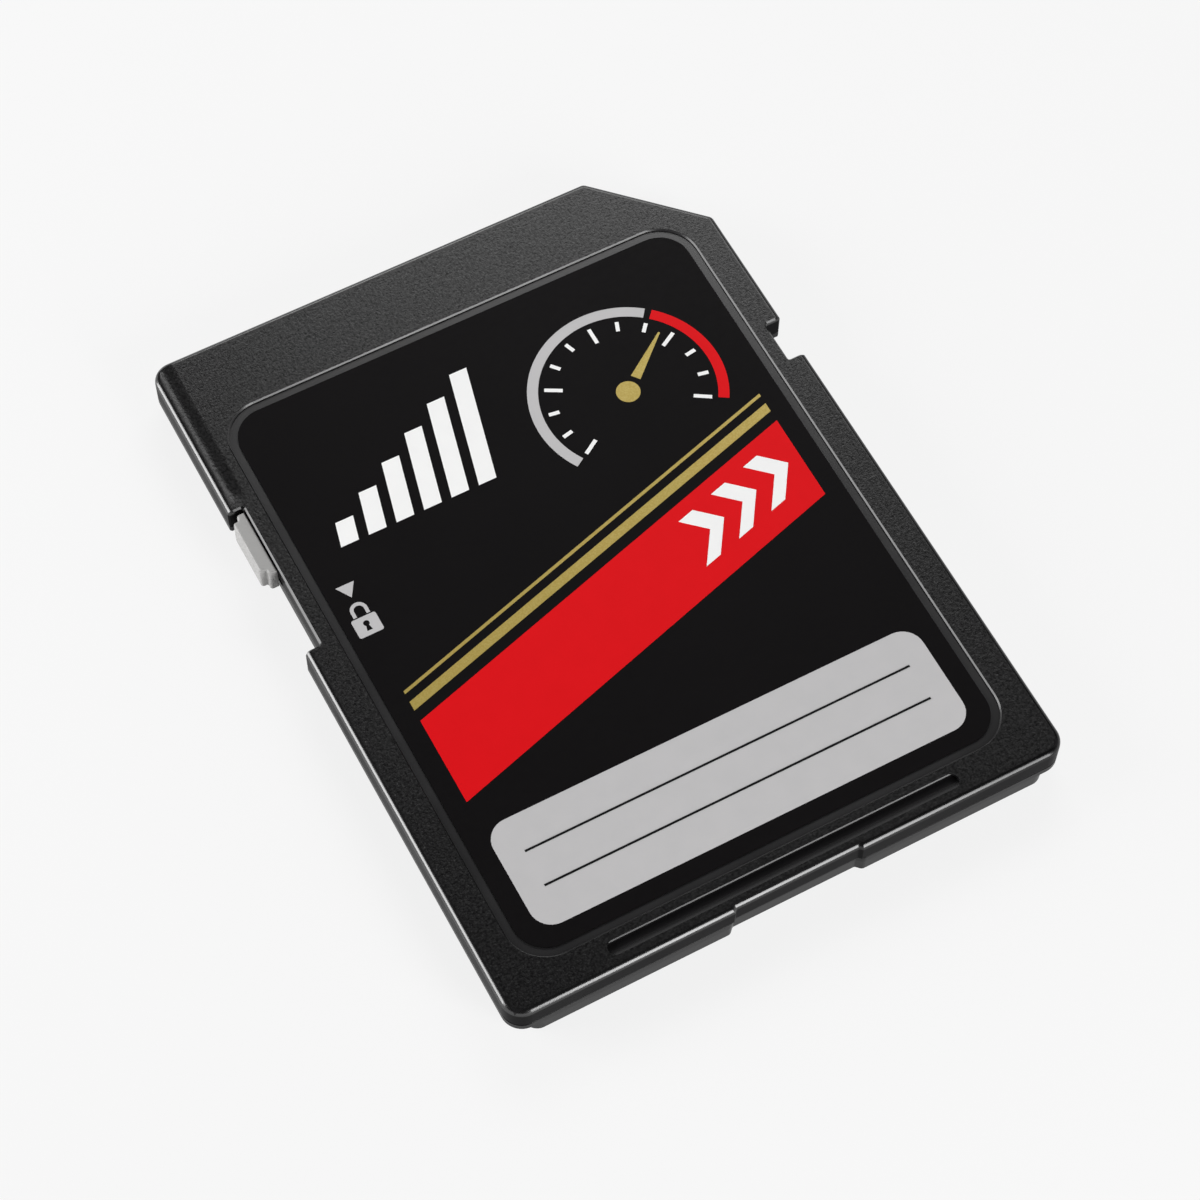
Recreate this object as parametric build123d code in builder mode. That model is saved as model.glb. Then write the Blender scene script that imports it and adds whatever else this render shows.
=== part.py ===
from build123d import *
from math import sqrt
import os

# A full-size memory card with two rows of contacts. Two moulded shells meet at a seam round the edge and
# hold a circuit board between them. A slider in a notch of the left edge sets the write protection.
# X runs across the card, Y towards the contact end and Z up through the label. The origin is under the
# middle of the card, on the surface that it lies on. All sizes are in millimetres.

# Card body
card_width = 24.0
card_length = 32.0
card_thickness = 2.1
corner_radius = 0.85  # the three square corners, seen from above
corner_cut = 4.0  # each leg of the cut corner
cut_radius = 0.3  # where the cut meets the two edges
edge_radius = 0.25  # round the top face
rail_thickness = 1.4  # edge strips that run in a card slot
rail_width = 0.75
belly_radius = 0.6  # corners of the narrower lower half
belly_draft = 2.0  # degrees that the belly's sides lean in towards the base
base_bevel = 0.03
bevel_slope = 45.0  # degrees
seam_bevel = 0.05  # V groove where the shells meet
lead_in_length = 0.5  # slope under the contact end
lead_in_height = 0.3

# Rear edge: thumb recess, and fingernail groove in the top face
thumb_width = 5.3
thumb_offset = 0.14  # to the right of the middle
thumb_upper_depth = 0.12
thumb_lower_depth = 0.22
thumb_radius = 0.1  # ends of the floor
thumb_mouth_radius = 0.25  # ends of the mouth, below the seam
groove_length = 15.1
groove_width = 0.62
groove_depth = 0.2
groove_floor = 0.25  # flat part of the groove's floor, before it slopes up
groove_margin = 1.15  # from the rear edge to the groove's far rim
groove_bevel = 0.04  # along the far rim

# Notches in the rails, placed from the contact end
slider_notch_start = 7.65
slider_notch_length = 7.0
slider_notch_depth = 0.68
key_notch_start = 9.75
key_notch_length = 1.95
key_notch_depth = 0.75
notch_radius = 0.1  # inner corners
notch_bevel = 0.07  # rim and mouth

# Label and its recess
recess_side_margin = 1.4
recess_front_margin = 3.42
recess_rear_margin = 1.55
recess_radius = 1.7
recess_depth = 0.11
recess_bevel = 0.06
label_margin = 0.36  # bare strip of recess round the label
label_thickness = 0.06

# Shell walls
floor_thickness = 0.3
roof_thickness = 0.25
belly_wall = 0.3
front_wall = 0.6
rear_wall = 0.8
pocket_radius = 0.4
cavity_front_margin = 4.6  # solid front of the upper shell, which presses on the board
well_ledge = 0.5  # board seat round the well in the lower shell
well_rib = 0.6
well_bays = 3
post_diameter = 0.8  # posts that hold the board down at the rear
post_margin = 0.85

# Circuit board and contacts
contact_recess = 0.7  # from the base up to the contact faces
contact_thickness = 0.05
contact_corner = 0.12
slot_clearance = 0.15
board_thickness = 0.3
board_clearance = 0.08

# Front row of contacts, in slots that are open at the contact end
front_row_count = 7  # evenly spaced contacts
front_row_width = 1.5
front_row_length = 4.0
front_row_margin = 1.0  # from the contact end to the contacts
front_row_right = 3.125  # from the right edge to the middle of the first contact
front_row_left = 5.875  # from the left edge to the middle of the last one
narrow_width = 1.0  # the two contacts that stand closer together
narrow_offsets = (3.45, 1.75)  # from the left edge to their middles
corner_setback = 1.6  # the contact behind the cut corner lies this much further back

# Second row of contacts, in closed windows
second_row_count = 8
second_row_width = 1.4
second_row_length = 2.6
second_row_margin = 8.2
second_row_right = 4.4
second_row_left = 2.8
contact_block_wall = 0.6  # behind the second row

# Parts on the board
chip_headroom = 0.1
chip_bevel = 0.05
dot_radius = 0.4
dot_inset = 1.1
dot_depth = 0.03
memory_width = 18.0
memory_length = 12.0
memory_rear_margin = 2.2
controller_width = 6.0
controller_length = 6.0
chip_gap = 1.8  # between the two chips
passive_length = 1.0
passive_width = 0.5
passive_height = 0.33
passive_cap = 0.25  # metal end of a capacitor or resistor
passive_skin = 0.02  # how far the metal ends stand proud
capacitor_count = 6
capacitor_pitch = 2.4
capacitor_gap = 0.6  # from the memory chip
resistor_count = 4
resistor_pitch = 1.4
resistor_gap = 0.8  # from the controller

# Write-protect slider
slider_length = 3.05
slider_end_gap = 0.15
slider_side_gap = 0.06
slider_drop = 0.1  # below the top face
slider_lift = 0.1  # above the underside of the rails
slider_grip_depth = 0.27  # outer rib that the finger pushes
slider_grip_setback = 0.27
slider_radius = 0.13  # ends of the bar and the rib, seen from above
slider_corner_radius = 0.08  # where the rib meets the bar
slider_edge_radius = 0.1  # round the top
tongue_length = 1.6
tongue_thickness = 0.22
tongue_clearance = 0.04
hook_depth = 0.4
hook_headroom = 0.15

# Levels and edges that follow from the sizes above
half_width = card_width / 2
half_length = card_length / 2
rail_bottom = card_thickness - rail_thickness
board_bottom = contact_recess + contact_thickness
seam_height = board_bottom + board_thickness
recess_floor = card_thickness - recess_depth
roof_underside = recess_floor - roof_thickness
belly_half_width = half_width - rail_width
pocket_half_width = belly_half_width - belly_wall
pocket_rear = rear_wall - half_length
cavity_front = half_length - cavity_front_margin
slider_notch_front = half_length - slider_notch_start
slider_notch_middle = slider_notch_front - slider_notch_length / 2
slider_notch_floor = slider_notch_depth - half_width
key_notch_middle = half_length - key_notch_start - key_notch_length / 2
slider_front = slider_notch_front - slider_end_gap
slider_middle = slider_front - slider_length / 2
slider_travel = slider_notch_length - slider_length - 2 * slider_end_gap


def cut_corner_plan(side, front, rear, cut, radius):
    """Plan of the card pulled in from its edges, with the cut corner kept parallel to the card's own."""
    leg = corner_cut + sqrt(2) * cut - side - front
    corner = (half_width - side, half_length - front)
    with BuildSketch() as plan:
        with Locations((0, (rear - front) / 2)):
            Rectangle(card_width - 2 * side, card_length - front - rear)
        chamfer(plan.vertices().sort_by_distance(corner)[0], leg)
        fillet(plan.vertices().sort_by_distance(corner)[2:], radius)
        fillet(plan.vertices().sort_by_distance(corner)[:2], min(cut_radius, radius))
    return plan.sketch


def spread(first, last, count):
    """Evenly spaced places from first to last."""
    return [first + (last - first) * step / (count - 1) for step in range(count)]


def thumb_recess(depth):
    """Plan of the thumb recess, a shallow dip in the rear edge with sloping ends."""
    left = thumb_offset - thumb_width / 2
    right = thumb_offset + thumb_width / 2
    with BuildSketch() as plan:
        with BuildLine():
            Polyline(
                (left - 2 * depth, -half_length - depth),
                (left, depth - half_length),
                (right, depth - half_length),
                (right + 2 * depth, -half_length - depth),
                close=True,
            )
        make_face()
        fillet(plan.vertices().group_by(Axis.Y)[-1], thumb_radius)
    return plan.sketch


def round_thumb_mouth(plan):
    """Rounds the two corners where the thumb recess of the lower half meets the rear edge."""
    for side in (-1, 1):
        mouth_x = thumb_offset + side * (thumb_width / 2 + thumb_lower_depth)
        fillet(plan.vertices().sort_by_distance((mouth_x, -half_length))[0], thumb_mouth_radius)


# Notches: edge, middle, length and depth of the slider's on the left and of the key notch on the right
notches = [
    (-half_width, slider_notch_middle, slider_notch_length, slider_notch_depth),
    (half_width, key_notch_middle, key_notch_length, key_notch_depth),
]
with BuildSketch() as notch_plan:
    for edge_x, middle, length, depth in notches:
        with Locations((edge_x, middle)):
            RectangleRounded(2 * depth, length, notch_radius)

# Plan of the card's upper half, without the notches
with BuildSketch() as upper_plan:
    add(cut_corner_plan(0, 0, 0, 0, corner_radius))
    add(thumb_recess(thumb_upper_depth), mode=Mode.SUBTRACT)

# Plan of the lower part of the rails, with the notches and their bevelled mouths
with BuildSketch() as rail_plan:
    add(cut_corner_plan(0, 0, 0, 0, corner_radius))
    add(thumb_recess(thumb_lower_depth), mode=Mode.SUBTRACT)
    round_thumb_mouth(rail_plan)
    add(notch_plan.sketch, mode=Mode.SUBTRACT)
    for edge_x, middle, length, depth in notches:
        for end in (middle - length / 2, middle + length / 2):
            chamfer(rail_plan.vertices().sort_by_distance((edge_x, end))[0], notch_bevel)

# Plan of the belly, the narrower lower half between the rails
with BuildSketch() as belly_plan:
    add(cut_corner_plan(rail_width, 0, 0, 0, belly_radius))
    add(thumb_recess(thumb_lower_depth), mode=Mode.SUBTRACT)
    round_thumb_mouth(belly_plan)

# Plan of the label recess, with the label a strip smaller all round
recess_width = card_width - 2 * recess_side_margin
recess_length = card_length - recess_front_margin - recess_rear_margin
recess_middle = (recess_rear_margin - recess_front_margin) / 2

# Contact places: middle, front end and width in the front row, and middles in the second row
front_row_front = half_length - front_row_margin
front_row_places = spread(half_width - front_row_right, front_row_left - half_width, front_row_count)
front_row = [(front_row_places[0], front_row_front - corner_setback, front_row_width)]
front_row += [(x, front_row_front, front_row_width) for x in front_row_places[1:]]
front_row += [(offset_x - half_width, front_row_front, narrow_width) for offset_x in narrow_offsets]
second_row_front = half_length - second_row_margin
second_row = spread(half_width - second_row_right, second_row_left - half_width, second_row_count)

# Upper shell
with BuildPart() as upper_case:
    with BuildSketch(Plane.XY.offset(seam_height)):
        add(upper_plan.sketch)
    extrude(amount=card_thickness - seam_height)
    fillet(upper_case.faces().sort_by(Axis.Z)[-1].edges(), edge_radius)
    # notches, with the bevel of their rims running down the mouths
    with BuildSketch(Plane.XY.offset(seam_height)):
        add(notch_plan.sketch)
    extrude(amount=card_thickness - seam_height, mode=Mode.SUBTRACT)
    chamfer(upper_case.edges(Select.LAST).group_by(Axis.Z)[-1], notch_bevel)
    chamfer(upper_case.faces().sort_by(Axis.Z)[0].edges(), seam_bevel)
    # recess for the label
    with BuildSketch(Plane.XY.offset(recess_floor)):
        with Locations((0, recess_middle)):
            RectangleRounded(recess_width, recess_length, recess_radius)
    extrude(amount=recess_depth, mode=Mode.SUBTRACT)
    chamfer(upper_case.faces().sort_by(Axis.Z)[-1].inner_wires()[0].edges(), recess_bevel)
    # room over the board
    with BuildSketch(Plane.XY.offset(seam_height)):
        with Locations((0, (pocket_rear + cavity_front) / 2)):
            RectangleRounded(2 * pocket_half_width, cavity_front - pocket_rear, pocket_radius)
    extrude(amount=roof_underside - seam_height, mode=Mode.SUBTRACT)
    # posts on the board's rear corners
    with BuildSketch(Plane.XY.offset(seam_height)):
        with Locations((0, pocket_rear + post_margin)):
            with GridLocations(2 * (pocket_half_width - post_margin), 0, 2, 1):
                Circle(post_diameter / 2)
    extrude(amount=roof_underside - seam_height)
    # slot through the notch wall for the slider's tongue
    slot_length = tongue_length + slider_travel + 2 * slider_end_gap
    with BuildSketch(Plane.XY.offset(seam_height)):
        with Locations((-pocket_half_width, slider_notch_middle)):
            slot_reach = half_width - pocket_half_width
            Rectangle(slot_reach, slot_length, align=(Align.MAX, Align.CENTER))
    extrude(amount=tongue_thickness + 2 * tongue_clearance, mode=Mode.SUBTRACT)

# Fingernail groove: rounded ends in plan, an upright far wall and a floor that slopes up to the rear
groove_rim = groove_margin - half_length
groove_wall = groove_rim - groove_bevel
with BuildPart() as groove:
    with BuildSketch(Plane.XY.offset(card_thickness - groove_depth)):
        with Locations((0, groove_rim - groove_width / 2)):
            SlotOverall(groove_length, groove_width)
    extrude(amount=groove_depth)
    with BuildSketch(Plane.YZ):
        with BuildLine():
            Polyline(
                (groove_rim, card_thickness),
                (groove_wall, card_thickness - groove_bevel),
                (groove_wall, card_thickness - groove_depth),
                (groove_wall - groove_floor, card_thickness - groove_depth),
                (groove_rim - groove_width, card_thickness),
                close=True,
            )
        make_face()
    extrude(amount=groove_length / 2, both=True, mode=Mode.INTERSECT)
with upper_case:
    add(groove.part, mode=Mode.SUBTRACT)

# Lower shell
with BuildPart() as lower_case:
    with BuildSketch(Plane.XY.offset(rail_bottom)):
        add(rail_plan.sketch)
    extrude(amount=seam_height - rail_bottom)
    chamfer(lower_case.faces().sort_by(Axis.Z)[-1].edges(), seam_bevel)
    with BuildSketch(Plane.XY.offset(rail_bottom)):
        add(belly_plan.sketch)
    extrude(amount=base_bevel - rail_bottom, taper=belly_draft)
    extrude(lower_case.faces().sort_by(Axis.Z)[0], amount=base_bevel, taper=bevel_slope)
    # slope under the contact end
    with BuildSketch(Plane.YZ):
        with BuildLine():
            Polyline(
                (half_length, 0),
                (half_length, lead_in_height),
                (half_length - lead_in_length, 0),
                close=True,
            )
        make_face()
    extrude(amount=half_width, both=True, mode=Mode.SUBTRACT)
    # seat for the board
    with BuildSketch(Plane.XY.offset(board_bottom)):
        add(cut_corner_plan(rail_width + belly_wall, front_wall, rear_wall, belly_wall, pocket_radius))
    extrude(amount=board_thickness, mode=Mode.SUBTRACT)
    # slots of the front row, with ribs between them, and windows of the second row
    with BuildSketch():
        for x, front, width in front_row:
            slot_rear = front - front_row_length - slot_clearance
            with Locations((x, slot_rear)):
                Rectangle(width + 2 * slot_clearance, card_length, align=(Align.CENTER, Align.MIN))
        for x in second_row:
            with Locations((x, second_row_front - second_row_length / 2)):
                Rectangle(second_row_width + 2 * slot_clearance, second_row_length + 2 * slot_clearance)
    extrude(amount=board_bottom, mode=Mode.SUBTRACT)
    # well under the board, with ribs that carry it
    well_front = second_row_front - second_row_length - slot_clearance - contact_block_wall
    well_rear = pocket_rear + well_ledge
    bay_pitch = (2 * (pocket_half_width - well_ledge) + well_rib) / well_bays
    with BuildSketch(Plane.XY.offset(floor_thickness)):
        with Locations((0, (well_front + well_rear) / 2)):
            with GridLocations(bay_pitch, 0, well_bays, 1):
                Rectangle(bay_pitch - well_rib, well_front - well_rear)
    extrude(amount=board_bottom - floor_thickness, mode=Mode.SUBTRACT)

# Circuit board
board_side = rail_width + belly_wall + board_clearance
board_front = front_wall + board_clearance
board_rear = rear_wall + board_clearance
board_cut = belly_wall + board_clearance
with BuildPart() as circuit_board:
    with BuildSketch(Plane.XY.offset(board_bottom)):
        add(cut_corner_plan(board_side, board_front, board_rear, board_cut, pocket_radius))
    extrude(amount=board_thickness)

# Label
with BuildPart() as label:
    with BuildSketch(Plane.XY.offset(recess_floor)):
        with Locations((0, recess_middle)):
            RectangleRounded(
                recess_width - 2 * label_margin,
                recess_length - 2 * label_margin,
                recess_radius - label_margin,
            )
    extrude(amount=label_thickness)

# Write-protect slider: a bar with a finger rib outside, and a tongue that hooks behind the notch wall
slider_outside = -half_width
slider_inside = slider_notch_floor - slider_side_gap
hook_outside = tongue_clearance - pocket_half_width
tongue_bottom = seam_height + tongue_clearance
with BuildPart() as slider:
    with BuildSketch(Plane.XY.offset(rail_bottom + slider_lift)) as slider_plan:
        bar_outside = slider_outside + slider_grip_depth
        bar_depth = slider_inside - bar_outside
        grip_length = slider_length - 2 * slider_grip_setback
        with Locations((bar_outside, slider_middle)):
            Rectangle(bar_depth, slider_length, align=(Align.MIN, Align.CENTER))
        with Locations((slider_outside, slider_middle)):
            Rectangle(slider_grip_depth, grip_length, align=(Align.MIN, Align.CENTER))
        inner_corners = slider_plan.vertices().sort_by_distance((bar_outside, slider_middle))[:2]
        fillet(inner_corners, slider_corner_radius)
        for end in (slider_front, slider_front - slider_length):
            fillet(slider_plan.vertices().sort_by_distance((bar_outside, end))[0], slider_radius)
        fillet(slider_plan.vertices().group_by(Axis.X)[0], slider_radius)
    extrude(amount=card_thickness - slider_drop - rail_bottom - slider_lift)
    fillet(slider.faces().sort_by(Axis.Z)[-1].edges(), slider_edge_radius)
    with BuildSketch(Plane.XY.offset(tongue_bottom)):
        with Locations((slider_inside, slider_middle)):
            tongue_reach = hook_outside - slider_inside
            Rectangle(tongue_reach, tongue_length, align=(Align.MIN, Align.CENTER))
    extrude(amount=tongue_thickness)
    with BuildSketch(Plane.XY.offset(tongue_bottom)):
        with Locations((hook_outside, slider_middle)):
            Rectangle(hook_depth, tongue_length, align=(Align.MIN, Align.CENTER))
    extrude(amount=roof_underside - hook_headroom - tongue_bottom)

named_parts = {
    "upper_case": upper_case,
    "lower_case": lower_case,
    "circuit_board": circuit_board,
    "label": label,
    "write_protect_slider": slider,
}


def make_contact(x, front, width, length):
    """A plated contact on the underside of the board."""
    with BuildPart() as contact:
        with BuildSketch(Plane.XY.offset(contact_recess)) as face:
            with Locations((x, front - length / 2)):
                Rectangle(width, length)
            chamfer(face.vertices(), contact_corner)
        extrude(amount=contact_thickness)
    return contact


def make_chip(x, y, width, length):
    """A moulded chip on top of the board, with a bevelled lid and a dot that marks its first terminal."""
    chip_height = roof_underside - seam_height - chip_headroom
    with BuildPart() as chip:
        with BuildSketch(Plane.XY.offset(seam_height)):
            with Locations((x, y)):
                Rectangle(width, length)
        extrude(amount=chip_height)
        chamfer(chip.faces().sort_by(Axis.Z)[-1].edges(), chip_bevel)
        with BuildSketch(Plane.XY.offset(seam_height + chip_height)):
            with Locations((x - width / 2 + dot_inset, y + length / 2 - dot_inset)):
                Circle(dot_radius)
        extrude(amount=-dot_depth, mode=Mode.SUBTRACT)
    return chip


def make_passive(x, y, along_x):
    """A capacitor or resistor block with a metal cap on each end."""
    turn = 0 if along_x else 90
    place = Plane(Location((x, y, seam_height), (0, 0, turn)))
    with BuildPart() as passive:
        with BuildSketch(place):
            Rectangle(passive_length, passive_width - 2 * passive_skin)
        extrude(amount=passive_height - passive_skin)
        with BuildSketch(place):
            with GridLocations(passive_length - passive_cap, 0, 2, 1):
                Rectangle(passive_cap, passive_width)
        extrude(amount=passive_height)
    return passive


# Contacts: the one behind the cut corner has the front row's last number, and the others count up from it
front_numbers = [len(front_row)] + list(range(1, len(front_row)))
for number, (x, front, width) in zip(front_numbers, front_row):
    named_parts[f"contact_{number:02d}"] = make_contact(x, front, width, front_row_length)
for number, x in enumerate(second_row, start=len(front_row) + 1):
    contact = make_contact(x, second_row_front, second_row_width, second_row_length)
    named_parts[f"contact_{number:02d}"] = contact

# Chips, with a row of capacitors between them and resistors on both sides of the controller
memory_front = memory_rear_margin + memory_length - half_length
controller_y = memory_front + chip_gap + controller_length / 2
named_parts["memory_chip"] = make_chip(0, memory_front - memory_length / 2, memory_width, memory_length)
named_parts["controller_chip"] = make_chip(0, controller_y, controller_width, controller_length)
for index in range(capacitor_count):
    x = (index - (capacitor_count - 1) / 2) * capacitor_pitch
    y = memory_front + capacitor_gap + passive_width / 2
    named_parts[f"capacitor_{index + 1}"] = make_passive(x, y, True)
for index in range(resistor_count):
    side = 1 if index % 2 else -1
    x = side * (controller_width / 2 + resistor_gap + passive_width / 2)
    y = controller_y + (index // 2 - (resistor_count // 2 - 1) / 2) * resistor_pitch
    named_parts[f"resistor_{index + 1}"] = make_passive(x, y, False)

os.makedirs("parts", exist_ok=True)
for name, built in named_parts.items():
    built.part.label = name
    export_step(built.part, f"parts/{name}.step")
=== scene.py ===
import math

import bmesh
import bpy
from mathutils import Matrix, Vector


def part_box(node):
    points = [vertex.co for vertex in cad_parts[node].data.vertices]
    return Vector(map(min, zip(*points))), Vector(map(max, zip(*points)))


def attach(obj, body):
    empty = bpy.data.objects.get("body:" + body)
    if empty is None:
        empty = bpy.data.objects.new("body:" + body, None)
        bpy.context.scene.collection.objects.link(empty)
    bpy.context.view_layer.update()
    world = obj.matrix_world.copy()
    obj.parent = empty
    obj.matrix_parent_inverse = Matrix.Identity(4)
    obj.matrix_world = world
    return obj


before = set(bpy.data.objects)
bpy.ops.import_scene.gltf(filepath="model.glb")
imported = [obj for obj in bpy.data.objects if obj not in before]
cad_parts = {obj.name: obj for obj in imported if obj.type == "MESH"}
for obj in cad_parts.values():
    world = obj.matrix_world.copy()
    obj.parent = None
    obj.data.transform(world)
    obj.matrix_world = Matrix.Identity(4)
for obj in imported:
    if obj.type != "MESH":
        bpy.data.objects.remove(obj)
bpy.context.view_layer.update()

# Sizes in this script are millimetres, and the scene is in metres
MM = 0.001

# Camera of the photograph, which looks at a point near the card's middle
CAMERA_AZIMUTH = -29.05
CAMERA_ELEVATION = 61.0
CAMERA_ROLL = 0.98
CAMERA_DISTANCE = 131.41
CAMERA_TARGET = (-0.531, -1.450, 1.0)
CAMERA_LENS = 100.0
SENSOR_WIDTH = 36.0
CLIP_START = 5.0
CLIP_END = 100000.0

# Pale ground and walls. The walls end and the ceiling starts at heights of a unit direction
GROUND_WHITE = 0.93  # renders as the light grey of the photograph's background
GROUND_SIZE = 4000.0
SHADOW_SHARE = 0.12  # how much of the lit floor, with its shadow, the picture keeps
WALL_TOP = 0.2
CEILING_LOW = 0.4
CEILING_GREY = 0.03

# Card measures that the print and the finishes follow
label_low, label_high = (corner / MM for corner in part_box("label"))
shell_low, shell_high = (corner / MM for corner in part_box("upper_case"))
label_top = label_high.z
card_top = shell_high.z
RECESS_STRIP = 0.36  # bare recess round the label
EDGE_ROUND = 0.25  # round the top face
SMOOTH_BORDER = 0.10  # of the top face, beside its rounded edge
SEAM_BEVEL = 0.05  # each side of the seam between the shells

# Finish of the shells. A pair is the two ends of a range
TOP_SKIN_START = 0.004  # below the top face, where its finish starts
TOP_SKIN_FULL = 0.001  # below the top face, where its finish is full
CLOUD_GRAIN = 2.5
COARSE_GRAIN = 0.13
FINE_GRAIN = 0.075
GRAIN_RELIEF = 0.012
TOP_TINTS = ((0.0020, 0.0019, 0.0021), (0.0032, 0.0030, 0.0033))
WALL_TINTS = ((0.0026, 0.0025, 0.0027), (0.0038, 0.0036, 0.0040))
# The recess is lighter partly in its own colour and partly as painted sheen of its smoother floor
RECESS_TINTS_AND_SHEEN = ((0.0145, 0.0140, 0.0148), (0.0175, 0.0170, 0.0178))
GROOVE_TINT = (0.0110, 0.0106, 0.0112)
TOP_ROUGHNESS = (0.30, 0.43)
RECESS_ROUGHNESS = (0.29, 0.34)
RIM_ROUGHNESS = (0.22, 0.27)
UPPER_WALL_ROUGHNESS = (0.30, 0.38)
LOWER_WALL_ROUGHNESS = 0.36
SEAM_ROUGHNESS = 0.34
TOP_SHINE = (0.16, 0.68)
RECESS_SHINE = 0.58
INNER_RIM_SHINE = 0.45
GROOVE_SHINE = 0.24
EDGE_SHINE = (1.0, 0.35)  # at the label's left and at its right: a painted falloff of the edge highlight
SEAM_SHINE = (0.13, 0.03)  # at the label's left and at its right
UPPER_WALL_SHINE = 0.015
LOWER_WALL_SHINE = 0.12

# Shallow groove beside the left edge of the top face
EDGE_GROOVE_LIP = 0.28  # from the card's left side, as are the next two
EDGE_GROOVE_BOTTOM = 0.50
EDGE_GROOVE_END = 1.02
EDGE_GROOVE_DEPTH = 0.072
EDGE_GROOVE_LIP_RISE = 0.35  # of the lip over the bottom, as a share of the depth
EDGE_GROOVE_START = 0.2  # ahead of the slider, as is the next
EDGE_GROOVE_FULL = 1.2

# Other finishes
CREVICE_REACH = 0.3  # reach of the painted shade in the slider's crevices
SCRATCH_SCALE = (1, 0.04, 1)  # draws the scratches on the contacts out along the card
METAL_END = 0.25  # of a small block's length, at each end

# Most of a noise texture lies between these values
NOISE_LOW = 0.3
NOISE_HIGH = 0.7

# Sockets of the Mix node, which has a set for numbers and one for colours
MIX_NUMBERS = (2, 3)
MIX_NUMBER_RESULT = 0
MIX_COLOURS = (6, 7)
MIX_COLOUR_RESULT = 2


# Nodes and textures

def node(tree, kind, inputs=None, **settings):
    """Adds a shader node. An input is a value, or the socket that feeds it."""
    made = tree.nodes.new(kind)
    for key, value in settings.items():
        setattr(made, key, value)
    for key, value in (inputs or {}).items():
        if isinstance(value, bpy.types.NodeSocket):
            tree.links.new(value, made.inputs[key])
        else:
            made.inputs[key].default_value = value
    return made


def new_material(name, **values):
    """A material with a Principled shader whose even values are set on its own sockets."""
    material = bpy.data.materials.new(name)
    material.use_nodes = True
    shader = material.node_tree.nodes["Principled BSDF"]
    for key, value in values.items():
        shader.inputs[key.replace("_", " ")].default_value = value
    return material, material.node_tree, shader


def place_on_object(tree):
    """Coordinates that ride with the piece: the card's own frame, in metres."""
    return node(tree, "ShaderNodeTexCoord").outputs["Object"]


def noise(tree, place, grain, detail=2.0):
    """Noise with grains of about that many millimetres."""
    inputs = {"Vector": place, "Scale": 1 / (grain * MM), "Detail": detail}
    return node(tree, "ShaderNodeTexNoise", inputs).outputs["Fac"]


def ranged(tree, value, from_low, from_high, to_low, to_high, smooth=False):
    """Maps a value from one range to another, and holds it at the ends."""
    inputs = {
        "Value": value,
        "From Min": from_low,
        "From Max": from_high,
        "To Min": to_low,
        "To Max": to_high,
    }
    kind = "SMOOTHSTEP" if smooth else "LINEAR"
    return node(tree, "ShaderNodeMapRange", inputs, interpolation_type=kind).outputs["Result"]


def spread(tree, texture, at_low, at_high):
    """Spreads a noise texture over a range."""
    return ranged(tree, texture, NOISE_LOW, NOISE_HIGH, at_low, at_high)


def calculate(tree, operation, first, second):
    """One step of arithmetic on sockets or numbers."""
    return node(tree, "ShaderNodeMath", {0: first, 1: second}, operation=operation).outputs["Value"]


def distance(tree, value, origin):
    """How far a value is from another, either way."""
    return calculate(tree, "ABSOLUTE", calculate(tree, "SUBTRACT", value, origin), 0)


def blended(tree, factor, first, second):
    """Colour between two others, by a factor socket. A colour is a socket or three numbers."""
    inputs = {"Factor": factor}
    for key, colour in zip(MIX_COLOURS, (first, second)):
        linked = isinstance(colour, bpy.types.NodeSocket)
        inputs[key] = colour if linked else (*colour, 1)
    return node(tree, "ShaderNodeMix", inputs, data_type="RGBA").outputs[MIX_COLOUR_RESULT]


def between(tree, factor, first, second):
    """Number between two others, by a factor socket or number."""
    inputs = {"Factor": factor, MIX_NUMBERS[0]: first, MIX_NUMBERS[1]: second}
    return node(tree, "ShaderNodeMix", inputs).outputs[MIX_NUMBER_RESULT]


def bump(tree, height, depth, normal=None):
    """Surface relief of that many millimetres between heights 0 and 1."""
    inputs = {"Height": height, "Distance": depth * MM, "Strength": 1.0}
    if normal is not None:
        inputs["Normal"] = normal
    return node(tree, "ShaderNodeBump", inputs).outputs["Normal"]


def feed(tree, shader, **sockets):
    """Links sockets to the shader's inputs of those names."""
    for key, socket in sockets.items():
        tree.links.new(socket, shader.inputs[key.replace("_", " ")])


# Finish of the shells

def within(tree, axes, low, high, grow):
    """1 inside a rectangle of the card's plan that is grown by that much all round, and 0 outside it."""
    inside = []
    for axis, start, end in (("X", low.x, high.x), ("Y", low.y, high.y)):
        from_middle = distance(tree, axes[axis], (start + end) / 2 * MM)
        reach = ((end - start) / 2 + grow) * MM
        inside.append(calculate(tree, "LESS_THAN", from_middle, reach))
    return calculate(tree, "MULTIPLY", *inside)


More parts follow.
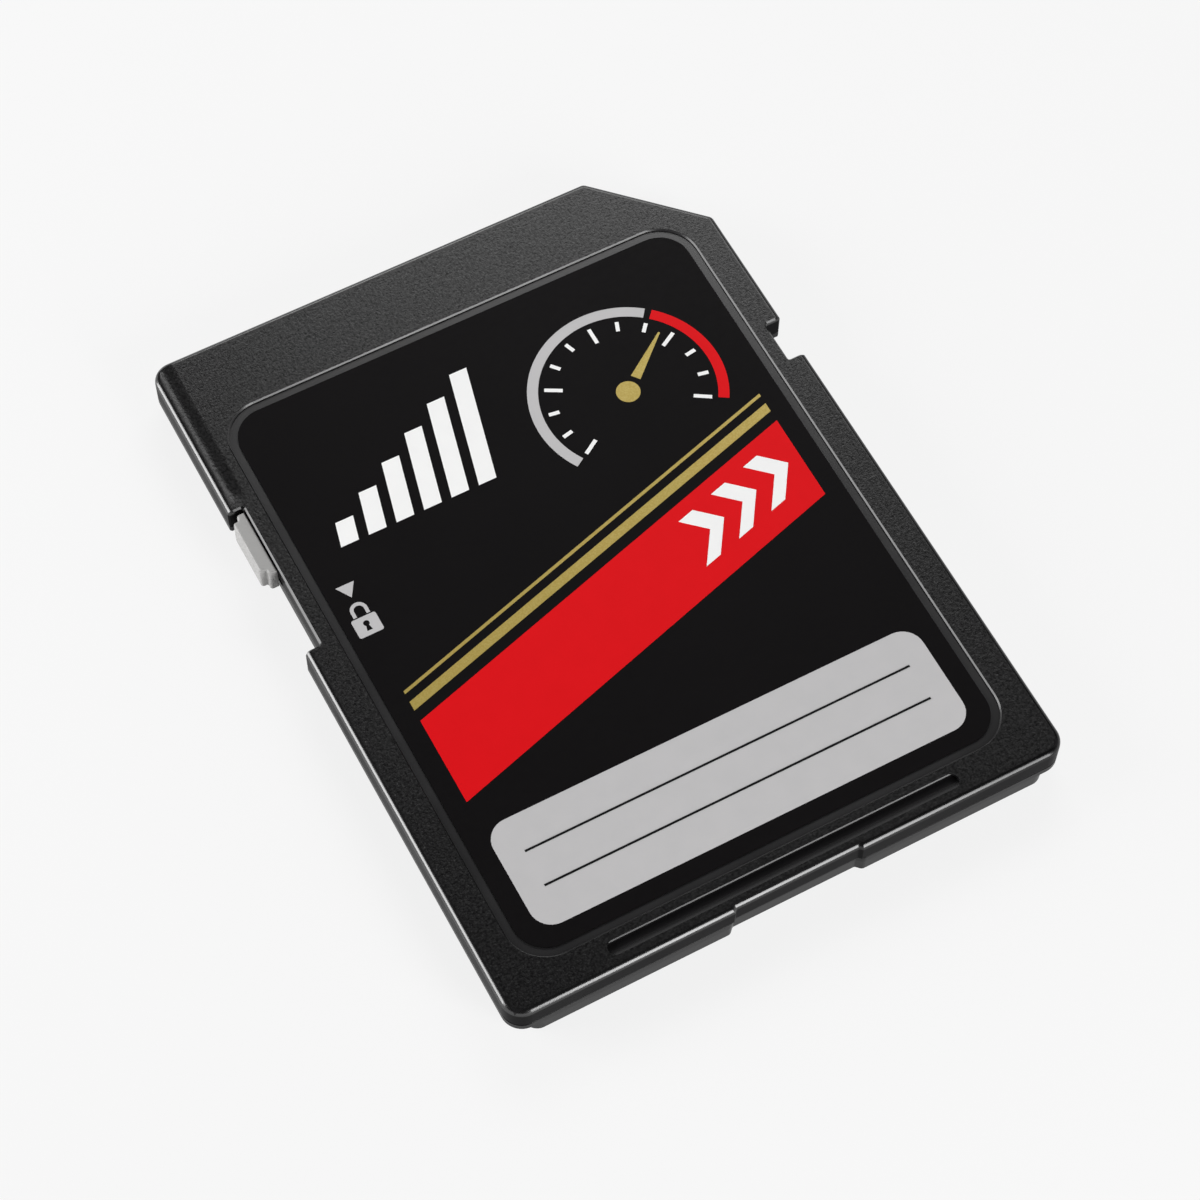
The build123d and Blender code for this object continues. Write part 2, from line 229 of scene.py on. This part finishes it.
def shell_zones(tree, axes):
    """Masks that are 1 in a zone of the shells and 0 outside it."""
    wall_top = (card_top - EDGE_ROUND) * MM
    mid_edge = (card_top - EDGE_ROUND / 2) * MM
    skin_start = (card_top - TOP_SKIN_START) * MM
    skin_full = (card_top - TOP_SKIN_FULL) * MM
    seam = shell_low.z * MM
    off_edge = within(tree, axes, shell_low, shell_high, -EDGE_ROUND)
    behind_label = calculate(tree, "LESS_THAN", axes["Y"], (label_low.y - RECESS_STRIP) * MM)
    above_wall = calculate(tree, "GREATER_THAN", axes["Z"], wall_top)
    behind_recess = calculate(tree, "MULTIPLY", behind_label, off_edge)
    return {
        "top": ranged(tree, axes["Z"], skin_start, skin_full, 0, 1),
        "wall": ranged(tree, axes["Z"], wall_top, mid_edge, 1, 0),
        "seam": calculate(tree, "LESS_THAN", distance(tree, axes["Z"], seam), SEAM_BEVEL * MM),
        "below_seam": calculate(tree, "LESS_THAN", axes["Z"], seam),
        "recess": within(tree, axes, label_low, label_high, RECESS_STRIP),
        "off_edge": off_edge,
        "behind_label": behind_label,
        "groove": calculate(tree, "MULTIPLY", behind_recess, above_wall),
        "grained": within(tree, axes, shell_low, shell_high, -EDGE_ROUND - SMOOTH_BORDER),
    }


def shell_tint(tree, zones, cloud):
    """Colour of the shells: a lighter recess, partly painted sheen, a lighter groove floor, and a black top
    face and walls.
    """
    wall = blended(tree, cloud, *WALL_TINTS)
    plain = blended(tree, zones["groove"], wall, GROOVE_TINT)
    low = blended(tree, zones["recess"], plain, blended(tree, cloud, *RECESS_TINTS_AND_SHEEN))
    return blended(tree, zones["top"], low, blended(tree, cloud, *TOP_TINTS))


def shell_roughness(tree, zones, cloud, grain):
    """Roughness of the shells: the rims are the smoothest."""
    recess = spread(tree, cloud, *RECESS_ROUGHNESS)
    rim = between(tree, zones["recess"], spread(tree, cloud, *RIM_ROUGHNESS), recess)
    upper_wall = spread(tree, cloud, *UPPER_WALL_ROUGHNESS)
    plain_wall = between(tree, zones["below_seam"], upper_wall, LOWER_WALL_ROUGHNESS)
    wall = between(tree, zones["seam"], plain_wall, SEAM_ROUGHNESS)
    low = between(tree, zones["wall"], rim, wall)
    return between(tree, zones["top"], low, spread(tree, grain, *TOP_ROUGHNESS))


def shell_shine(tree, axes, zones, grain):
    """Specular level of the shells: glossy edges and recess, and walls that hardly shine."""
    label_span = (label_low.x * MM, label_high.x * MM)
    # Painted highlight: the rounded edges shine less towards the right
    edge = ranged(tree, axes["X"], *label_span, *EDGE_SHINE)
    seam = ranged(tree, axes["X"], *label_span, *SEAM_SHINE)
    inner_rim = between(tree, zones["behind_label"], INNER_RIM_SHINE, GROOVE_SHINE)
    rim = between(tree, zones["off_edge"], edge, inner_rim)
    glossy = between(tree, zones["recess"], rim, RECESS_SHINE)
    plain_wall = between(tree, zones["below_seam"], UPPER_WALL_SHINE, LOWER_WALL_SHINE)
    wall = between(tree, zones["seam"], plain_wall, seam)
    low = between(tree, zones["wall"], glossy, wall)
    return between(tree, zones["top"], low, spread(tree, grain, *TOP_SHINE))


def edge_groove(tree, axes):
    """Relief of the shallow groove beside the left edge of the top face, ahead of the slider."""
    inward = calculate(tree, "SUBTRACT", axes["X"], shell_low.x * MM)
    bottom = EDGE_GROOVE_BOTTOM * MM
    fall = ranged(tree, inward, bottom, EDGE_GROOVE_END * MM, 1, 0, smooth=True)
    rise = ranged(tree, inward, EDGE_GROOVE_LIP * MM, bottom, EDGE_GROOVE_LIP_RISE, 0, smooth=True)
    slider_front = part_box("write_protect_slider")[1].y / MM
    start = (slider_front + EDGE_GROOVE_START) * MM
    full = (slider_front + EDGE_GROOVE_FULL) * MM
    ahead = ranged(tree, axes["Y"], start, full, 0, 1, smooth=True)
    depth = calculate(tree, "MULTIPLY", calculate(tree, "SUBTRACT", fall, rise), ahead)
    return bump(tree, calculate(tree, "SUBTRACT", 1, depth), EDGE_GROOVE_DEPTH)


def shell_plastic():
    """Black moulded plastic: a spark-eroded grain on the top face, and smooth rims, recess and walls."""
    material, tree, shader = new_material("shell_plastic")
    place = place_on_object(tree)
    axes = node(tree, "ShaderNodeSeparateXYZ", {"Vector": place}).outputs
    zones = shell_zones(tree, axes)
    cloud = noise(tree, place, CLOUD_GRAIN)
    grain = between(tree, 0.5, noise(tree, place, COARSE_GRAIN), noise(tree, place, FINE_GRAIN))
    grain_mask = calculate(tree, "MULTIPLY", zones["top"], zones["grained"])
    relief = calculate(tree, "MULTIPLY", calculate(tree, "SUBTRACT", grain, 0.5), grain_mask)
    feed(
        tree,
        shader,
        Base_Color=shell_tint(tree, zones, cloud),
        Roughness=shell_roughness(tree, zones, cloud, grain),
        Specular_IOR_Level=shell_shine(tree, axes, zones, grain),
        Normal=bump(tree, relief, GRAIN_RELIEF, edge_groove(tree, axes)),
    )
    return material


# Other finishes

def label_film():
    """Satin black film with a faint orange-peel surface."""
    material, tree, shader = new_material("label_film", Specular_IOR_Level=0.04)
    place = place_on_object(tree)
    cloud = noise(tree, place, grain=3.0)
    peel = noise(tree, place, grain=0.3)
    feed(
        tree,
        shader,
        Base_Color=blended(tree, cloud, (0.0046, 0.0041, 0.0044), (0.0058, 0.0051, 0.0055)),
        Roughness=spread(tree, peel, at_low=0.42, at_high=0.52),
        Normal=bump(tree, peel, depth=0.003),
    )
    return material


def slider_plastic():
    """Light grey plastic with a fine matt grain, a faint warm cloud and painted shade that darkens its
    crevices.
    """
    material, tree, shader = new_material("slider_plastic")
    place = place_on_object(tree)
    cloud = noise(tree, place, grain=0.8)
    grain = noise(tree, place, grain=0.06)
    plain = blended(tree, cloud, (0.315, 0.312, 0.306), (0.350, 0.347, 0.341))
    # Painted shade: the colour darkens towards dark grey where ambient occlusion finds crevices
    reach = {"Distance": CREVICE_REACH * MM}
    open_sky = node(tree, "ShaderNodeAmbientOcclusion", reach).outputs["AO"]
    crevice_shade = ranged(tree, open_sky, from_low=0.3, from_high=0.85, to_low=0.9, to_high=0)
    feed(
        tree,
        shader,
        Base_Color=blended(tree, crevice_shade, plain, (0.10, 0.098, 0.094)),
        Roughness=spread(tree, grain, at_low=0.40, at_high=0.52),
        Normal=bump(tree, grain, depth=0.004),
    )
    return material


def print_ink(name, thin, thick):
    """Screen-printed ink: its colour varies a little with the thickness of the coat."""
    material, tree, shader = new_material(name, Specular_IOR_Level=0.08)
    place = place_on_object(tree)
    coat = noise(tree, place, grain=0.9)
    peel = noise(tree, place, grain=0.12)
    feed(
        tree,
        shader,
        Base_Color=blended(tree, coat, thin, thick),
        Roughness=spread(tree, peel, at_low=0.45, at_high=0.55),
        Normal=bump(tree, peel, depth=0.002),
    )
    return material


def gold_ink():
    """Metallic gold ink: flakes that catch the light in a matt binder."""
    material, tree, shader = new_material("gold_ink", Metallic=0.35)
    place = place_on_object(tree)
    flakes = noise(tree, place, grain=0.07, detail=1.0)
    shift = noise(tree, place, grain=3.5)
    warm = blended(tree, shift, (0.36, 0.29, 0.055), (0.43, 0.29, 0.06))
    glint = ranged(tree, flakes, from_low=0.35, from_high=0.75, to_low=0, to_high=0.5)
    feed(
        tree,
        shader,
        Base_Color=blended(tree, glint, warm, (0.52, 0.42, 0.14)),
        Roughness=spread(tree, flakes, at_low=0.50, at_high=0.36),
        Normal=bump(tree, flakes, depth=0.002),
    )
    return material


def gold_plating():
    """Gold plate on the contacts, with fine wiping scratches along the card."""
    material, tree, shader = new_material("gold_plating", Metallic=1.0)
    place = place_on_object(tree)
    drawn_out = node(tree, "ShaderNodeMapping", {"Vector": place, "Scale": SCRATCH_SCALE}).outputs["Vector"]
    scratches = noise(tree, drawn_out, grain=0.05, detail=3.0)
    cloud = noise(tree, place, grain=1.2)
    feed(
        tree,
        shader,
        Base_Color=blended(tree, cloud, (0.90, 0.62, 0.24), (0.98, 0.72, 0.34)),
        Roughness=spread(tree, scratches, at_low=0.18, at_high=0.34),
        Normal=bump(tree, scratches, depth=0.002),
    )
    return material


def solder_mask():
    """Dark green lacquer over copper tracks, which show as a faint relief."""
    material, tree, shader = new_material("solder_mask", Coat_Weight=0.3)
    place = place_on_object(tree)
    layout = {"Vector": place, "Scale": 300.0, "Mortar Size": 0.03}
    tracks = node(tree, "ShaderNodeTexBrick", layout).outputs["Fac"]
    cloud = noise(tree, place, grain=1.5)
    ground = blended(tree, cloud, (0.006, 0.030, 0.014), (0.010, 0.042, 0.020))
    feed(
        tree,
        shader,
        Base_Color=blended(tree, tracks, ground, (0.016, 0.070, 0.030)),
        Roughness=spread(tree, cloud, at_low=0.28, at_high=0.40),
        Normal=bump(tree, tracks, depth=0.012),
    )
    return material


def moulding_compound():
    """Dark grey epoxy of a chip, finely pitted."""
    material, tree, shader = new_material("moulding_compound")
    place = place_on_object(tree)
    pits = noise(tree, place, grain=0.07, detail=4.0)
    feed(
        tree,
        shader,
        Base_Color=blended(tree, pits, (0.012, 0.012, 0.013), (0.030, 0.030, 0.031)),
        Roughness=spread(tree, pits, at_low=0.50, at_high=0.70),
        Normal=bump(tree, pits, depth=0.010),
    )
    return material


def block_with_metal_ends(name, axis, dark, light):
    """Ceramic block with tinned ends. The axis is the one that the block lies along."""
    material, tree, shader = new_material(name)
    coordinates = node(tree, "ShaderNodeTexCoord").outputs
    along = node(tree, "ShaderNodeSeparateXYZ", {"Vector": coordinates["Generated"]}).outputs[axis]
    metal = calculate(tree, "GREATER_THAN", distance(tree, along, 0.5), 0.5 - METAL_END)
    speckle = noise(tree, coordinates["Object"], grain=0.06, detail=3.0)
    tin = blended(tree, speckle, (0.55, 0.55, 0.56), (0.68, 0.68, 0.68))
    feed(
        tree,
        shader,
        Base_Color=blended(tree, metal, blended(tree, speckle, dark, light), tin),
        Metallic=metal,
        Roughness=spread(tree, speckle, at_low=0.32, at_high=0.48),
        Normal=bump(tree, speckle, depth=0.004),
    )
    return material


def dress_nodes():
    """Gives each carried-over solid the finish of its material."""
    shell = shell_plastic()
    chip = moulding_compound()
    ceramic = block_with_metal_ends("capacitor_ceramic", "X", (0.30, 0.20, 0.12), (0.40, 0.28, 0.18))
    resistor = block_with_metal_ends("resistor_ceramic", "Y", (0.012, 0.012, 0.014), (0.030, 0.030, 0.034))
    finishes = {
        "upper_case": shell,
        "lower_case": shell,
        "circuit_board": solder_mask(),
        "label": label_film(),
        "write_protect_slider": slider_plastic(),
        "contact": gold_plating(),
        "memory_chip": chip,
        "controller_chip": chip,
        "capacitor": ceramic,
        "resistor": resistor,
    }
    for name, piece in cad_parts.items():
        key = name if name in finishes else name.split("_")[0]
        for slot in piece.material_slots:
            slot.material = finishes[key]


# Print layers on the label
INK = 0.008
MERGE_DISTANCE = 0.0001
PRINT_MARGIN = 0.85
PRINT_LEFT = label_low.x + PRINT_MARGIN
PRINT_RIGHT = label_high.x - PRINT_MARGIN
PRINT_WIDTH = PRINT_RIGHT - PRINT_LEFT

# Steps of the curves in the print
ARC_STEPS = 24
RING_STEPS = 64
HUB_STEPS = 47
CORNER_STEPS = 8

# Slanted band across the label, and stripes as a gap from the band and a height
BAND_LEFT_LOW = -7.3
BAND_HEIGHT = 3.9
BAND_RISE = 5.4
STRIPES = ((0.5, 0.42), (1.3, 0.14))

# Chevrons on the band
CHEVRONS = 3
CHEVRON_FIRST = (3.6, -1.45)
CHEVRON_STEP = (1.75, 0.503)
CHEVRON_REACH = 0.95
CHEVRON_HEIGHT = 2.3
CHEVRON_THICKNESS = 0.75

# Write-on panel
PANEL_GAP = 0.75  # from the label's rear edge
PANEL_LOW = label_low.y + PANEL_GAP
PANEL_HIGH = -8.6
PANEL_RADIUS = 0.9
RULES = 2
RULE_THICKNESS = 0.09
RULE_INSET = 1.0

# Gauge. An inset is measured inwards from its radius
GAUGE_CENTRE = (4.75, 6.0)
GAUGE_RADIUS = 4.1
GAUGE_START = 212.0
GAUGE_END = -32.0
GAUGE_RED_FROM = 50.0
DIAL_WIDTH = 0.45
DIAL_GAP = 2.0  # degrees, each side of where the red starts
GAUGE_TICKS = 13
LONG_TICK_EVERY = 3
TICK_WIDTH = 0.16
TICK_OUTER_INSET = 0.7
TICK_INNER_INSET = 1.15
LONG_TICK_INNER_INSET = 1.45
NEEDLE_ANGLE = 38.0
NEEDLE_START = 0.75  # from the gauge's centre
NEEDLE_TIP_INSET = 0.95
NEEDLE_BASE_WIDTH = 0.42
NEEDLE_TIP_WIDTH = 0.08
HUB_RADIUS = 0.5

# Rising bars
BARS = 6
BARS_LEFT = -8.7
BARS_LOW = 4.9
BAR_WIDTH = 0.78
BAR_PITCH = 1.22
BAR_FIRST = 1.1
BAR_STEP = 0.82
BAR_LEAN = 0.25

# Padlock and pointer beside the slider
LOCK_LEFT = -9.85
LOCK_RIGHT = -8.8
LOCK_LOW = 0.85
LOCK_BODY_TOP = 1.72
LOCK_CORNER = 0.1
SHACKLE_GAP = 0.06
SHACKLE_WIDTH = 0.15
SHACKLE_RADIUS = 0.36
SHACKLE_LEG = 0.26
KEYHOLE_RADIUS = 0.13
KEYHOLE_HEIGHT = 0.54  # over the padlock's lower edge, as is the next
SLIT_LOW = 0.2
SLIT_HALF_WIDTH = 0.12
KEYHOLE_START = -60
KEYHOLE_END = 240
POINTER_HALF_WIDTH = 0.4
POINTER_HIGH = 3.32
POINTER_TIP = 2.68


# Outlines of the print, in millimetres on the label

def arc(centre, radius, start, end, steps=ARC_STEPS):
    """Points on an arc, with angles in degrees."""
    turns = [math.radians(start + (end - start) * step / steps) for step in range(steps + 1)]
    return [(centre[0] + radius * math.cos(turn), centre[1] + radius * math.sin(turn)) for turn in turns]


def rounded(corners, radius):
    """A closed outline with its corners rounded."""
    outline = []
    for index, corner in enumerate(corners):
        here = Vector(corner)
        before = (Vector(corners[index - 1]) - here).normalized()
        after = (Vector(corners[(index + 1) % len(corners)]) - here).normalized()
        half = before.angle(after) / 2
        centre = here + (before + after).normalized() * radius / math.sin(half)
        first = here + before * radius / math.tan(half) - centre
        turn = math.pi - 2 * half
        if first.x * after.y - first.y * after.x < 0:
            turn = -turn
        for step in range(CORNER_STEPS + 1):
            angle = turn * step / CORNER_STEPS
            cosine = math.cos(angle)
            sine = math.sin(angle)
            outline.append((
                centre.x + first.x * cosine - first.y * sine,
                centre.y + first.x * sine + first.y * cosine,
            ))
    return outline


def rectangle(left, right, low, high):
    """Corners of an upright rectangle."""
    return [(left, low), (right, low), (right, high), (left, high)]


def ring(centre, inner, outer, start, end):
    """A band along an arc."""
    return arc(centre, outer, start, end, RING_STEPS) + arc(centre, inner, end, start, RING_STEPS)


def ray(centre, angle, near, far, near_width, far_width):
    """A straight bar that points away from a centre, with angles in degrees."""
    out = Vector((math.cos(math.radians(angle)), math.sin(math.radians(angle))))
    side = Vector((-out.y, out.x)) / 2
    start = Vector(centre) + out * near
    end = Vector(centre) + out * far
    corners = (
        start - side * near_width,
        end - side * far_width,
        end + side * far_width,
        start + side * near_width,
    )
    return [tuple(corner) for corner in corners]


def band(offset, height):
    """A band that rises from left to right, as far above the red band's lower edge as offset says."""
    low = BAND_LEFT_LOW + offset
    return [
        (PRINT_LEFT, low),
        (PRINT_RIGHT, low + BAND_RISE),
        (PRINT_RIGHT, low + BAND_RISE + height),
        (PRINT_LEFT, low + height),
    ]


def chevron(left, middle):
    """An arrow head that points along the band."""
    lean = BAND_RISE / PRINT_WIDTH
    half = CHEVRON_HEIGHT / 2
    shape = [
        (0, half),
        (CHEVRON_THICKNESS, half),
        (CHEVRON_THICKNESS + CHEVRON_REACH, 0),
        (CHEVRON_THICKNESS, -half),
        (0, -half),
        (CHEVRON_REACH, 0),
    ]
    return [(left + x, middle + y + lean * x) for x, y in shape]


def chevrons():
    """The row of arrow heads on the band."""
    row = []
    for index in range(CHEVRONS):
        left = CHEVRON_FIRST[0] + CHEVRON_STEP[0] * index
        middle = CHEVRON_FIRST[1] + CHEVRON_STEP[1] * index
        row.append(chevron(left, middle))
    return row


def panel_rules():
    """Thin lines to write on, spaced evenly over the panel."""
    left = PRINT_LEFT + RULE_INSET
    right = PRINT_RIGHT - RULE_INSET
    rules = []
    for index in range(1, RULES + 1):
        share = index / (RULES + 1)
        level = PANEL_LOW + (PANEL_HIGH - PANEL_LOW) * share
        rules.append(rectangle(left, right, level, level + RULE_THICKNESS))
    return rules


def gauge_dial(start, end):
    """A stretch of the gauge's rim."""
    return ring(GAUGE_CENTRE, GAUGE_RADIUS - DIAL_WIDTH, GAUGE_RADIUS, start, end)


def gauge_ticks():
    """Ticks round the gauge, with longer ones among them."""
    span = GAUGE_END - GAUGE_START
    far = GAUGE_RADIUS - TICK_OUTER_INSET
    ticks = []
    for index in range(GAUGE_TICKS):
        angle = GAUGE_START + span * index / (GAUGE_TICKS - 1)
        is_long = index % LONG_TICK_EVERY == 0
        near = GAUGE_RADIUS - (LONG_TICK_INNER_INSET if is_long else TICK_INNER_INSET)
        ticks.append(ray(GAUGE_CENTRE, angle, near, far, TICK_WIDTH, TICK_WIDTH))
    return ticks


def gauge_needle():
    """The gauge's tapering needle, and its hub."""
    tip = GAUGE_RADIUS - NEEDLE_TIP_INSET
    needle = ray(GAUGE_CENTRE, NEEDLE_ANGLE, NEEDLE_START, tip, NEEDLE_BASE_WIDTH, NEEDLE_TIP_WIDTH)
    hub = arc(GAUGE_CENTRE, HUB_RADIUS, 0, 360, HUB_STEPS)
    return [needle, hub]


def rising_bars():
    """A row of slanted bars, each taller than the one before."""
    bars = []
    for index in range(BARS):
        left = BARS_LEFT + index * BAR_PITCH
        height = BAR_FIRST + index * BAR_STEP
        lean = BAR_LEAN * height
        bars.append([
            (left, BARS_LOW),
            (left + BAR_WIDTH, BARS_LOW),
            (left + BAR_WIDTH + lean, BARS_LOW + height),
            (left + lean, BARS_LOW + height),
        ])
    return bars


def padlock():
    """Outlines of a closed padlock with a keyhole, and of the pointer above it."""
    middle = (LOCK_LEFT + LOCK_RIGHT) / 2
    body = rounded(rectangle(LOCK_LEFT, LOCK_RIGHT, LOCK_LOW, LOCK_BODY_TOP), LOCK_CORNER)
    hole_middle = (middle, LOCK_LOW + KEYHOLE_HEIGHT)
    slit_low = LOCK_LOW + SLIT_LOW
    slit = [(middle - SLIT_HALF_WIDTH, slit_low), (middle + SLIT_HALF_WIDTH, slit_low)]
    keyhole = arc(hole_middle, KEYHOLE_RADIUS, KEYHOLE_START, KEYHOLE_END) + slit
    outer = SHACKLE_RADIUS
    inner = outer - SHACKLE_WIDTH
    foot = LOCK_BODY_TOP + SHACKLE_GAP
    bow = (middle, foot + SHACKLE_LEG)
    shackle = [(middle + outer, foot)] + arc(bow, outer, 0, 180) + [(middle - outer, foot)]
    shackle += [(middle - inner, foot)] + arc(bow, inner, 180, 0) + [(middle + inner, foot)]
    pointer = [
        (middle - POINTER_HALF_WIDTH, POINTER_HIGH),
        (middle + POINTER_HALF_WIDTH, POINTER_HIGH),
        (middle, POINTER_TIP),
    ]
    return [body, keyhole, shackle, pointer]


# Printing

def ink_piece(name, layers, material):
    """One colour of the print, as thin closed prisms. A layer is its outlines and its lowest level."""
    gathered = bmesh.new()
    for outlines, level in layers:
        curve = bpy.data.curves.new(name, "CURVE")
        curve.dimensions = "2D"
        curve.fill_mode = "BOTH"
        curve.extrude = INK / 2
        for outline in outlines:
            spline = curve.splines.new("POLY")
            spline.points.add(len(outline) - 1)
            for point, (x, y) in zip(spline.points, outline):
                point.co = (x, y, 0, 1)
            spline.use_cyclic_u = True
        pattern = bpy.data.objects.new(name, curve)
        flat = bpy.data.meshes.new_from_object(pattern)
        flat.transform(Matrix.Scale(MM, 4) @ Matrix.Translation((0, 0, level + INK / 2)))
        gathered.from_mesh(flat)
        bpy.data.objects.remove(pattern)
        bpy.data.curves.remove(curve)
        bpy.data.meshes.remove(flat)
    bmesh.ops.remove_doubles(gathered, verts=gathered.verts, dist=MERGE_DISTANCE * MM)
    mesh = bpy.data.meshes.new(name)
    gathered.to_mesh(mesh)
    gathered.free()
    mesh.materials.append(material)
    piece = bpy.data.objects.new(name, mesh)
    bpy.context.scene.collection.objects.link(piece)
    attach(piece, "card")


def print_label():
    """The print, colour by colour. The chevrons and the panel's rules lie on a coat of other ink."""
    film = label_top
    coat = film + INK
    panel = rounded(rectangle(PRINT_LEFT, PRINT_RIGHT, PANEL_LOW, PANEL_HIGH), PANEL_RADIUS)
    plain_dial = gauge_dial(GAUGE_START, GAUGE_RED_FROM + DIAL_GAP)
    red_dial = gauge_dial(GAUGE_RED_FROM - DIAL_GAP, GAUGE_END)
    stripes = [band(BAND_HEIGHT + gap, height) for gap, height in STRIPES]

    grey = print_ink("grey_ink", thin=(0.49, 0.485, 0.49), thick=(0.53, 0.52, 0.525))
    red = print_ink("red_ink", thin=(0.67, 0.0030, 0.0062), thick=(0.71, 0.0036, 0.0075))
    white = print_ink("white_ink", thin=(0.87, 0.87, 0.87), thick=(0.92, 0.92, 0.91))
    black = print_ink("black_ink", thin=(0.006, 0.006, 0.006), thick=(0.010, 0.010, 0.010))
    ink_piece("print_grey", [([panel, plain_dial] + padlock(), film)], grey)
    ink_piece("print_red", [([band(0, BAND_HEIGHT), red_dial], film)], red)
    ink_piece("print_gold", [(stripes + gauge_needle(), film)], gold_ink())
    ink_piece("print_white", [(rising_bars() + gauge_ticks(), film), (chevrons(), coat)], white)
    ink_piece("print_black", [(panel_rules(), coat)], black)


# Stage

def floor_material():
    """Pale floor that keeps a faint shadow and looks the same in reflections."""
    material = bpy.data.materials.new("floor")
    material.use_nodes = True
    material.cycles.emission_sampling = "NONE"
    tree = material.node_tree
    tree.nodes.clear()
    colour = (GROUND_WHITE, GROUND_WHITE, GROUND_WHITE, 1)
    lit = node(tree, "ShaderNodeBsdfDiffuse", {"Color": colour})
    plain = node(tree, "ShaderNodeEmission", {"Color": colour})
    rays = node(tree, "ShaderNodeLightPath").outputs
    seen = calculate(tree, "MAXIMUM", rays["Is Camera Ray"], rays["Is Glossy Ray"])
    seen = calculate(tree, "MAXIMUM", seen, rays["Is Transmission Ray"])
    share = calculate(tree, "MULTIPLY", seen, 1 - SHADOW_SHARE)
    mixed = node(tree, "ShaderNodeMixShader", {0: share, 1: lit.outputs[0], 2: plain.outputs[0]})
    node(tree, "ShaderNodeOutputMaterial", {"Surface": mixed.outputs[0]})
    return material


def make_floor():
    """A large flat floor that the card lies on."""
    half = GROUND_SIZE / 2 * MM
    corners = [(x, y, 0) for x, y in rectangle(-half, half, -half, half)]
    mesh = bpy.data.meshes.new("floor")
    mesh.from_pydata(corners, [], [(0, 1, 2, 3)])
    mesh.materials.append(floor_material())
    floor = bpy.data.objects.new("floor", mesh)
    bpy.context.scene.collection.objects.link(floor)


def make_world():
    """Pale walls round the floor, and a darker ceiling."""
    world = bpy.data.worlds.new("studio")
    world.use_nodes = True
    bpy.context.scene.world = world
    tree = world.node_tree
    tree.nodes.clear()
    direction = node(tree, "ShaderNodeTexCoord").outputs["Generated"]
    height = node(tree, "ShaderNodeSeparateXYZ", {"Vector": direction}).outputs["Z"]
    level = ranged(tree, height, WALL_TOP, CEILING_LOW, GROUND_WHITE, CEILING_GREY, smooth=True)
    background = node(tree, "ShaderNodeBackground", {"Color": level, "Strength": 1.0})
    node(tree, "ShaderNodeOutputWorld", {"Surface": background.outputs[0]})


def softbox(name, place, aim, width, height, brightness):
    """A rectangular light that the camera doesn't see. Brightness 1 is white."""
    lamp = bpy.data.lights.new(name, "AREA")
    lamp.shape = "RECTANGLE"
    lamp.size = width * MM
    lamp.size_y = height * MM
    lamp.energy = brightness * math.pi * lamp.size * lamp.size_y
    holder = bpy.data.objects.new(name, lamp)
    holder.location = Vector(place) * MM
    holder.rotation_euler = (Vector(aim) - Vector(place)).to_track_quat("-Z", "Y").to_euler()
    holder.visible_camera = False
    bpy.context.scene.collection.objects.link(holder)


def make_lights():
    """Two low soft lights, at the left and at the near side, and a dimmer one high over the far right."""
    softbox("left_light", place=(-113, 54, 46), aim=(0, 0, 46), width=86, height=90, brightness=8.2)
    softbox("near_light", place=(37, -120, 53), aim=(0, 0, 53), width=52, height=102, brightness=12.0)
    softbox("far_light", place=(66, 112, 96), aim=(0, 0, 2), width=114, height=70, brightness=5.4)


def make_camera():
    """The photograph's camera."""
    azimuth = math.radians(CAMERA_AZIMUTH)
    elevation = math.radians(CAMERA_ELEVATION)
    level = math.cos(elevation)
    back = Vector((math.sin(azimuth) * level, -math.cos(azimuth) * level, math.sin(elevation)))
    right = Vector((0, 0, 1)).cross(back).normalized()
    up = back.cross(right)
    roll = math.radians(CAMERA_ROLL)
    turned_right = right * math.cos(roll) + up * math.sin(roll)
    turned_up = up * math.cos(roll) - right * math.sin(roll)
    data = bpy.data.cameras.new("camera")
    data.lens = CAMERA_LENS
    data.sensor_width = SENSOR_WIDTH
    data.clip_start = CLIP_START * MM
    data.clip_end = CLIP_END * MM
    camera = bpy.data.objects.new("camera", data)
    bpy.context.scene.collection.objects.link(camera)
    turn = Matrix((turned_right, turned_up, back)).transposed().to_4x4()
    place = (Vector(CAMERA_TARGET) + back * CAMERA_DISTANCE) * MM
    camera.matrix_world = Matrix.Translation(place) @ turn
    bpy.context.scene.camera = camera


dress_nodes()
print_label()
make_floor()
make_world()
make_lights()
make_camera()
bpy.context.scene.view_settings.view_transform = "Standard"
